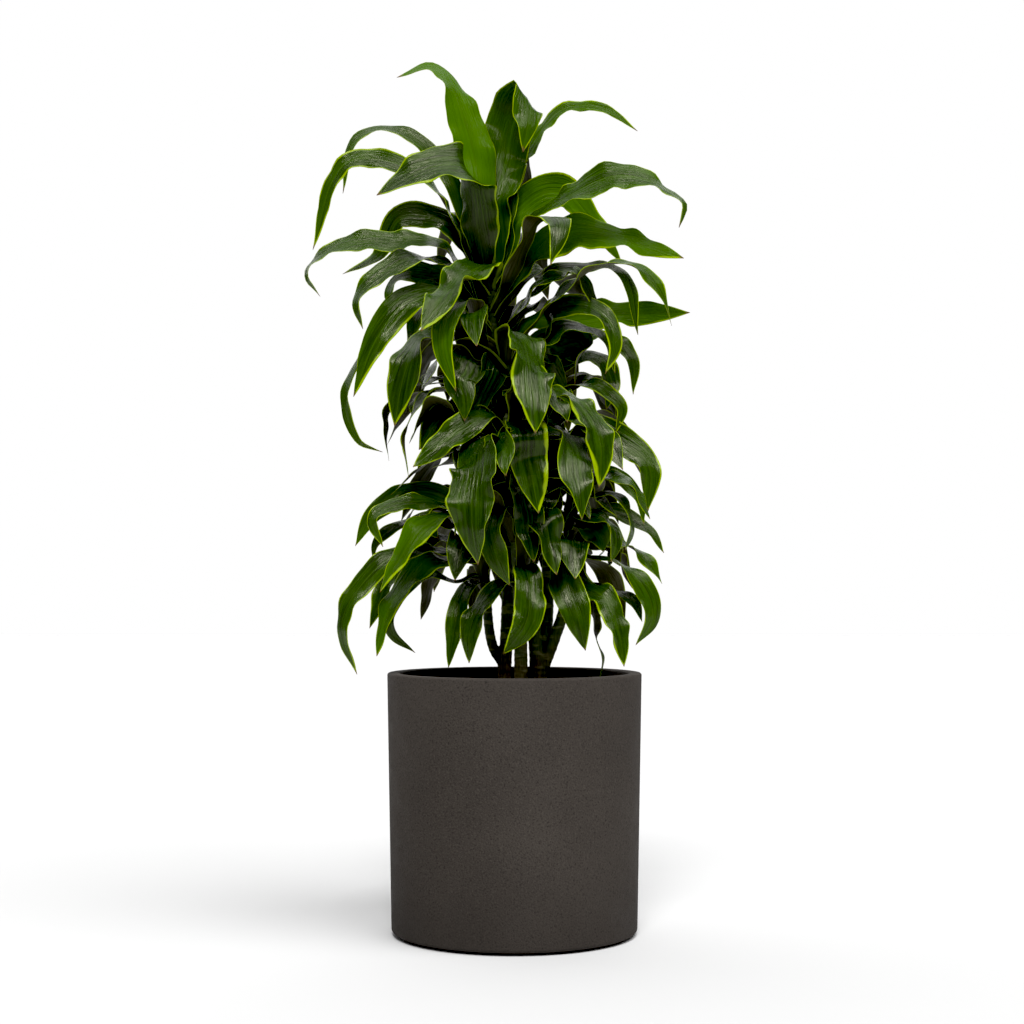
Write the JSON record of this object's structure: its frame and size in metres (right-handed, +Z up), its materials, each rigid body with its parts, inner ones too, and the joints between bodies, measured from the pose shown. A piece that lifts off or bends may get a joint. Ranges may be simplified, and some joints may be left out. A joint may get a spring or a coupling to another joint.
{
  "type": "potted dracaena",
  "caption": "Lime-edged dracaena with arching strap leaves on woody canes, growing in a plain round stone-grey planter.",
  "frame": {"origin": "centre of the planter's flat underside", "axes": "+Z up along the planter's axis; -Y is the plant's front, +X is to the right seen from the front"},
  "size_m": [0.4739, 0.3765, 1.0735],
  "materials": {
    "pot_grey": "matt, finely sanded dark warm grey",
    "compost": "loose dark potting compost",
    "bark": "ringed woody bark",
    "green_top": "glossy green leaf with lime edges",
    "green_upper": "glossy green leaf with lime edges",
    "green_middle": "glossy green leaf with lime edges",
    "green_rear": "glossy green leaf with lime edges",
    "green_left": "glossy green leaf with lime edges",
    "green_right": "glossy green leaf with lime edges"
  },
  "bodies": {
    "root": {"pot": "pot_grey", "soil": "compost", "cane_left": "bark", "cane_middle": "bark", "cane_right": "bark", "leaf_top_01": "green_top", "leaf_top_02": "green_top", "leaf_top_03": "green_top", "leaf_top_04": "green_top", "leaf_top_05": "green_top", "leaf_top_06": "green_top", "leaf_top_07": "green_top", "leaf_top_08": "green_top", "leaf_top_09": "green_top", "leaf_top_10": "green_top", "leaf_top_11": "green_top", "leaf_top_12": "green_top", "leaf_top_13": "green_top", "leaf_top_14": "green_top", "leaf_top_15": "green_top", "leaf_top_16": "green_top", "leaf_top_17": "green_top", "leaf_top_18": "green_top", "leaf_top_19": "green_top", "leaf_top_20": "green_top", "leaf_top_21": "green_top", "leaf_upper_01": "green_upper", "leaf_upper_02": "green_upper", "leaf_upper_03": "green_upper", "leaf_upper_04": "green_upper", "leaf_upper_05": "green_upper", "leaf_upper_06": "green_upper", "leaf_upper_07": "green_upper", "leaf_middle_01": "green_middle", "leaf_middle_02": "green_middle", "leaf_middle_03": "green_middle", "leaf_middle_04": "green_middle", "leaf_middle_05": "green_middle", "leaf_middle_06": "green_middle", "leaf_middle_07": "green_middle", "leaf_rear_01": "green_rear", "leaf_rear_02": "green_rear", "leaf_rear_03": "green_rear", "leaf_rear_04": "green_rear", "leaf_rear_05": "green_rear", "leaf_rear_06": "green_rear", "leaf_left_01": "green_left", "leaf_left_02": "green_left", "leaf_left_03": "green_left", "leaf_left_04": "green_left", "leaf_left_05": "green_left", "leaf_left_06": "green_left", "leaf_left_07": "green_left", "leaf_left_08": "green_left", "leaf_right_01": "green_right", "leaf_right_02": "green_right", "leaf_right_03": "green_right", "leaf_right_04": "green_right", "leaf_right_05": "green_right", "leaf_right_06": "green_right"}
  },
  "joints": []
}
